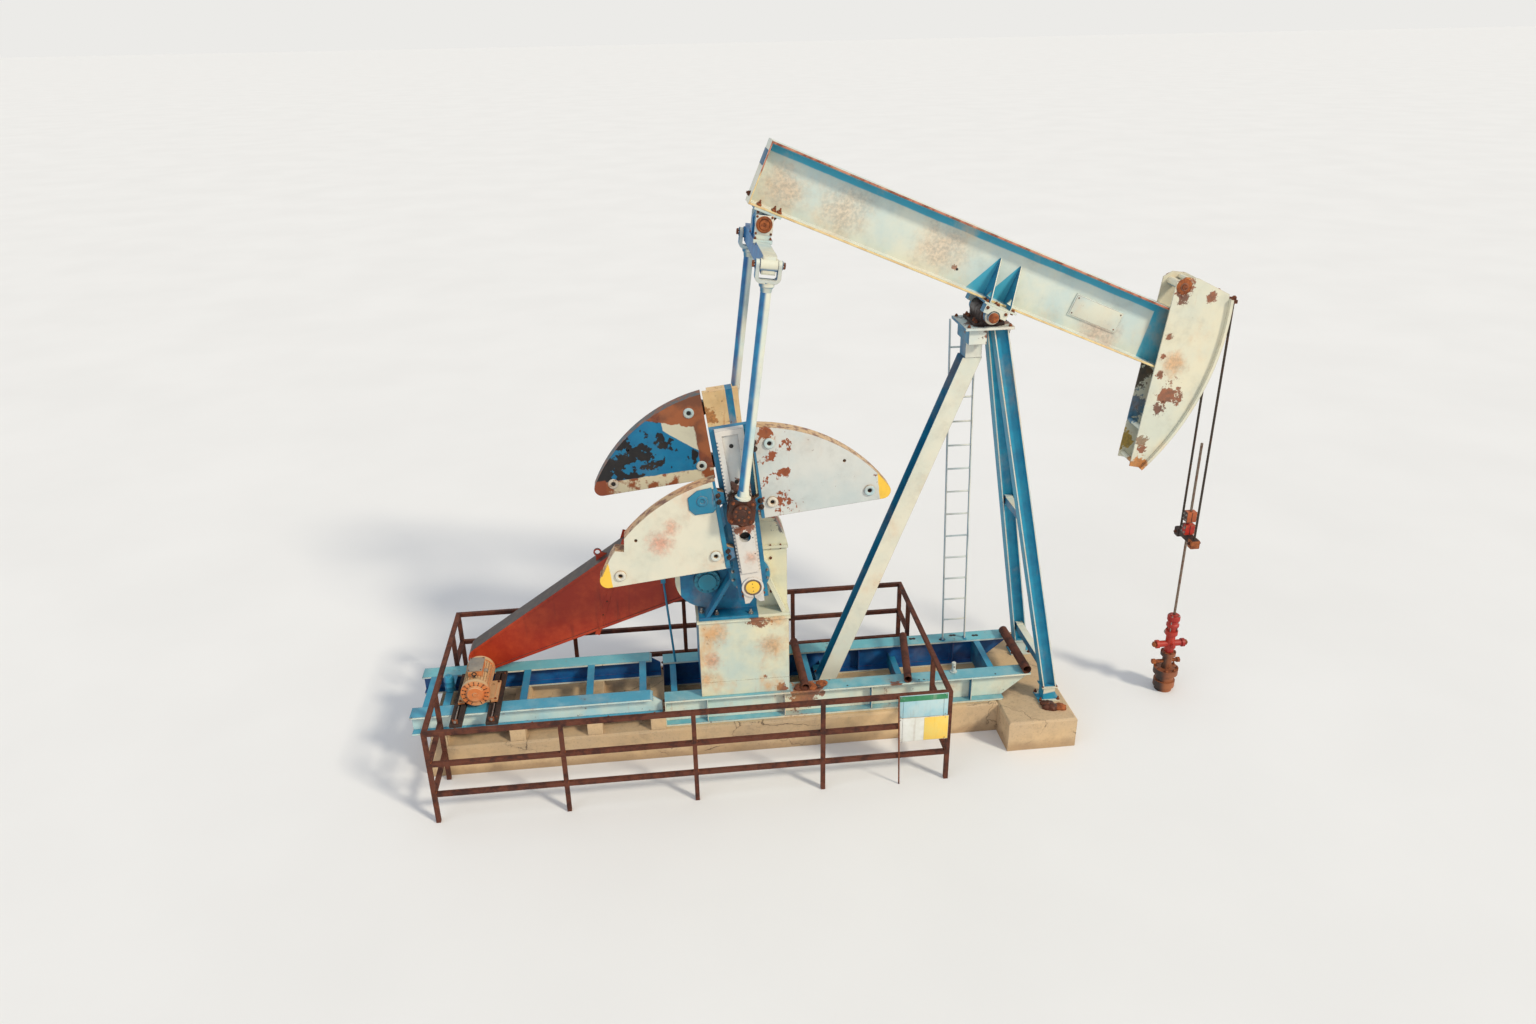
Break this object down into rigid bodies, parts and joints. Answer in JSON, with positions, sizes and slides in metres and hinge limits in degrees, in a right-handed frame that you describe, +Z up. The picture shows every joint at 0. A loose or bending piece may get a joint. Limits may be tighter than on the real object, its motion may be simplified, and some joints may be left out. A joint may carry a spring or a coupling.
{
  "type": "pumpjack",
  "caption": "Crank-balanced beam pumping unit on a concrete block: walking beam with horse head over its wellhead, geared cranks with sector counterweights, railing.",
  "frame": {"origin": "on the ground, straight under the saddle bearing, in the middle plane", "axes": "+X from the motor end towards the well, +Y away from the pictured side, +Z up"},
  "size_m": [9.7153, 2.63, 7.0545],
  "materials": {
    "pale_paint": "weathered pale blue paint, chalky, with rust at the edges",
    "cast_paint": "weathered pale blue paint on castings, with rust patches",
    "concrete": null,
    "rusty_tube": "rusted square and round tube",
    "rusty_casting": "rusted and oily casting",
    "bare_steel": "oily, rust-stained steel",
    "dark_steel": "dark, oily steel",
    "guard_red": "dull red paint on sheet steel",
    "motor_orange": "orange-brown, rusted motor casing",
    "wellhead_red": "worn red paint",
    "wire_rope": "dark, greased wire rope"
  },
  "bodies": {
    "base": {"foundation": "concrete", "front_footing": "concrete", "skid_beam_near": "pale_paint", "skid_beam_far": "pale_paint", "skid_crossmembers": "pale_paint", "rear_skid_near": "pale_paint", "rear_skid_far": "pale_paint", "rear_skid_crossmembers": "pale_paint", "rear_sleepers": "pale_paint", "pedestal": "pale_paint", "reducer_case": "cast_paint", "input_cover": "cast_paint", "motor": "motor_orange", "motor_rails": "dark_steel", "belt_guard": "guard_red", "guard_stay": "pale_paint", "rear_leg": "pale_paint", "front_leg_near": "pale_paint", "front_leg_far": "pale_paint", "post_cap": "pale_paint", "leg_braces": "pale_paint", "saddle_bearing": "rusty_casting", "ladder": "pale_paint", "cross_pipes": "rusty_tube", "rail_posts": "rusty_tube", "rail_near": "rusty_tube", "rail_far": "rusty_tube", "rail_ends": "rusty_tube", "casing_head": "bare_steel", "stuffing_box": "wellhead_red", "bridle_ropes": "wire_rope"},
    "cranks": {"slow_shaft": "bare_steel", "crank_near": "cast_paint", "crank_far": "cast_paint", "weight_near_front": "cast_paint", "weight_near_rear": "cast_paint", "weight_far_front": "cast_paint", "weight_far_rear": "cast_paint"},
    "walking_beam": {"walking_beam": "pale_paint", "horse_head": "pale_paint", "saddle_trunnion": "pale_paint", "tail_bracket": "pale_paint", "rope_hanger": "bare_steel"},
    "pitmans": {"equalizer": "pale_paint", "pitman_rods": "pale_paint", "wrist_bearings": "rusty_casting"},
    "rod_string": {"carrier_bar": "bare_steel", "rod_clamps": "wellhead_red", "polished_rod": "bare_steel"}
  },
  "joints": [
    {"name": "crank_turn", "type": "hinge", "parent": "base", "child": "cranks", "pos_m": [-2.7, 0, 2.36], "axis": [0, -1, 0], "range_deg": [0, 166.8]},
    {"name": "beam_rock", "type": "hinge", "parent": "base", "child": "walking_beam", "pos_m": [0, 0, 5.2], "axis": [0, -1, 0], "range_deg": [0, 44.41]},
    {"name": "pitman_swing", "type": "hinge", "parent": "walking_beam", "child": "pitmans", "pos_m": [-2.43756, 0, 6.24474], "axis": [0, -1, 0], "range_deg": [-43.89, 0]},
    {"name": "rod_lift", "type": "slide", "parent": "base", "child": "rod_string", "axis": [0, 0, 1], "range_m": [0, 2.1585], "deforming": ["bridle_ropes"]}
  ],
  "couplings": [
    {"joint": "beam_rock", "follows": "crank_turn", "ratio": 0.2662},
    {"joint": "pitman_swing", "follows": "crank_turn", "ratio": -0.26307},
    {"joint": "rod_lift", "follows": "crank_turn", "m_per_rad": 0.74137}
  ]
}
